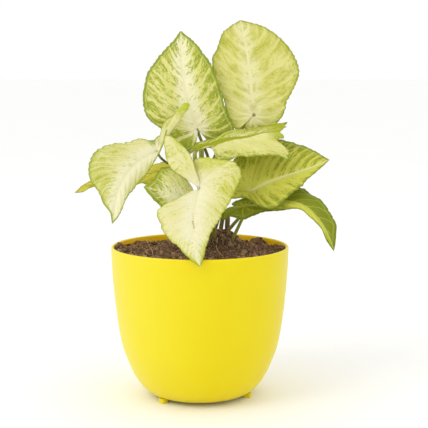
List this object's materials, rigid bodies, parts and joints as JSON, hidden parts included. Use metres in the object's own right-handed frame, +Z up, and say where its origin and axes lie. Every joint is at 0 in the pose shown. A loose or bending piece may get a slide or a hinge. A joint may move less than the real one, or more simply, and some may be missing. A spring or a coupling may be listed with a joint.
{
  "type": "potted syngonium",
  "caption": "Young arrowhead plant with cream and green leaves on thin stalks, in a yellow plastic pot with a rounded base on small feet.",
  "frame": {"origin": "on the floor, on the axis of the pot, which is also the middle of the plant's box seen from above", "axes": "+Z up along the pot's axis, +X to the right of a person facing the plant's front, +Y away from that person"},
  "size_m": [0.1904, 0.141, 0.2767],
  "materials": {
    "pot_plastic": "smooth moulded plastic, satin gloss",
    "potting_mix": "loose dark brown coir and bark crumbs, dull",
    "cane_bark": "dry brown stem skin, dull",
    "leaf_variegated": "cream leaf skin with yellow-green speckles between pale veins and a green margin, satin",
    "leaf_cream": "cream leaf skin with a few yellow-green streaks, satin",
    "leaf_green": "yellow-green to dark green leaf skin with pale veins, satin"
  },
  "bodies": {
    "root": {"pot": "pot_plastic", "soil": "potting_mix", "cane": "cane_bark", "leaf_top_left": "leaf_variegated", "leaf_top_right": "leaf_variegated", "leaf_middle_right": "leaf_variegated", "leaf_right": "leaf_green", "leaf_low_right": "leaf_green", "leaf_front": "leaf_cream", "leaf_under": "leaf_variegated", "leaf_left": "leaf_cream", "leaf_far_left": "leaf_green", "leaf_back": "leaf_green"}
  },
  "joints": []
}
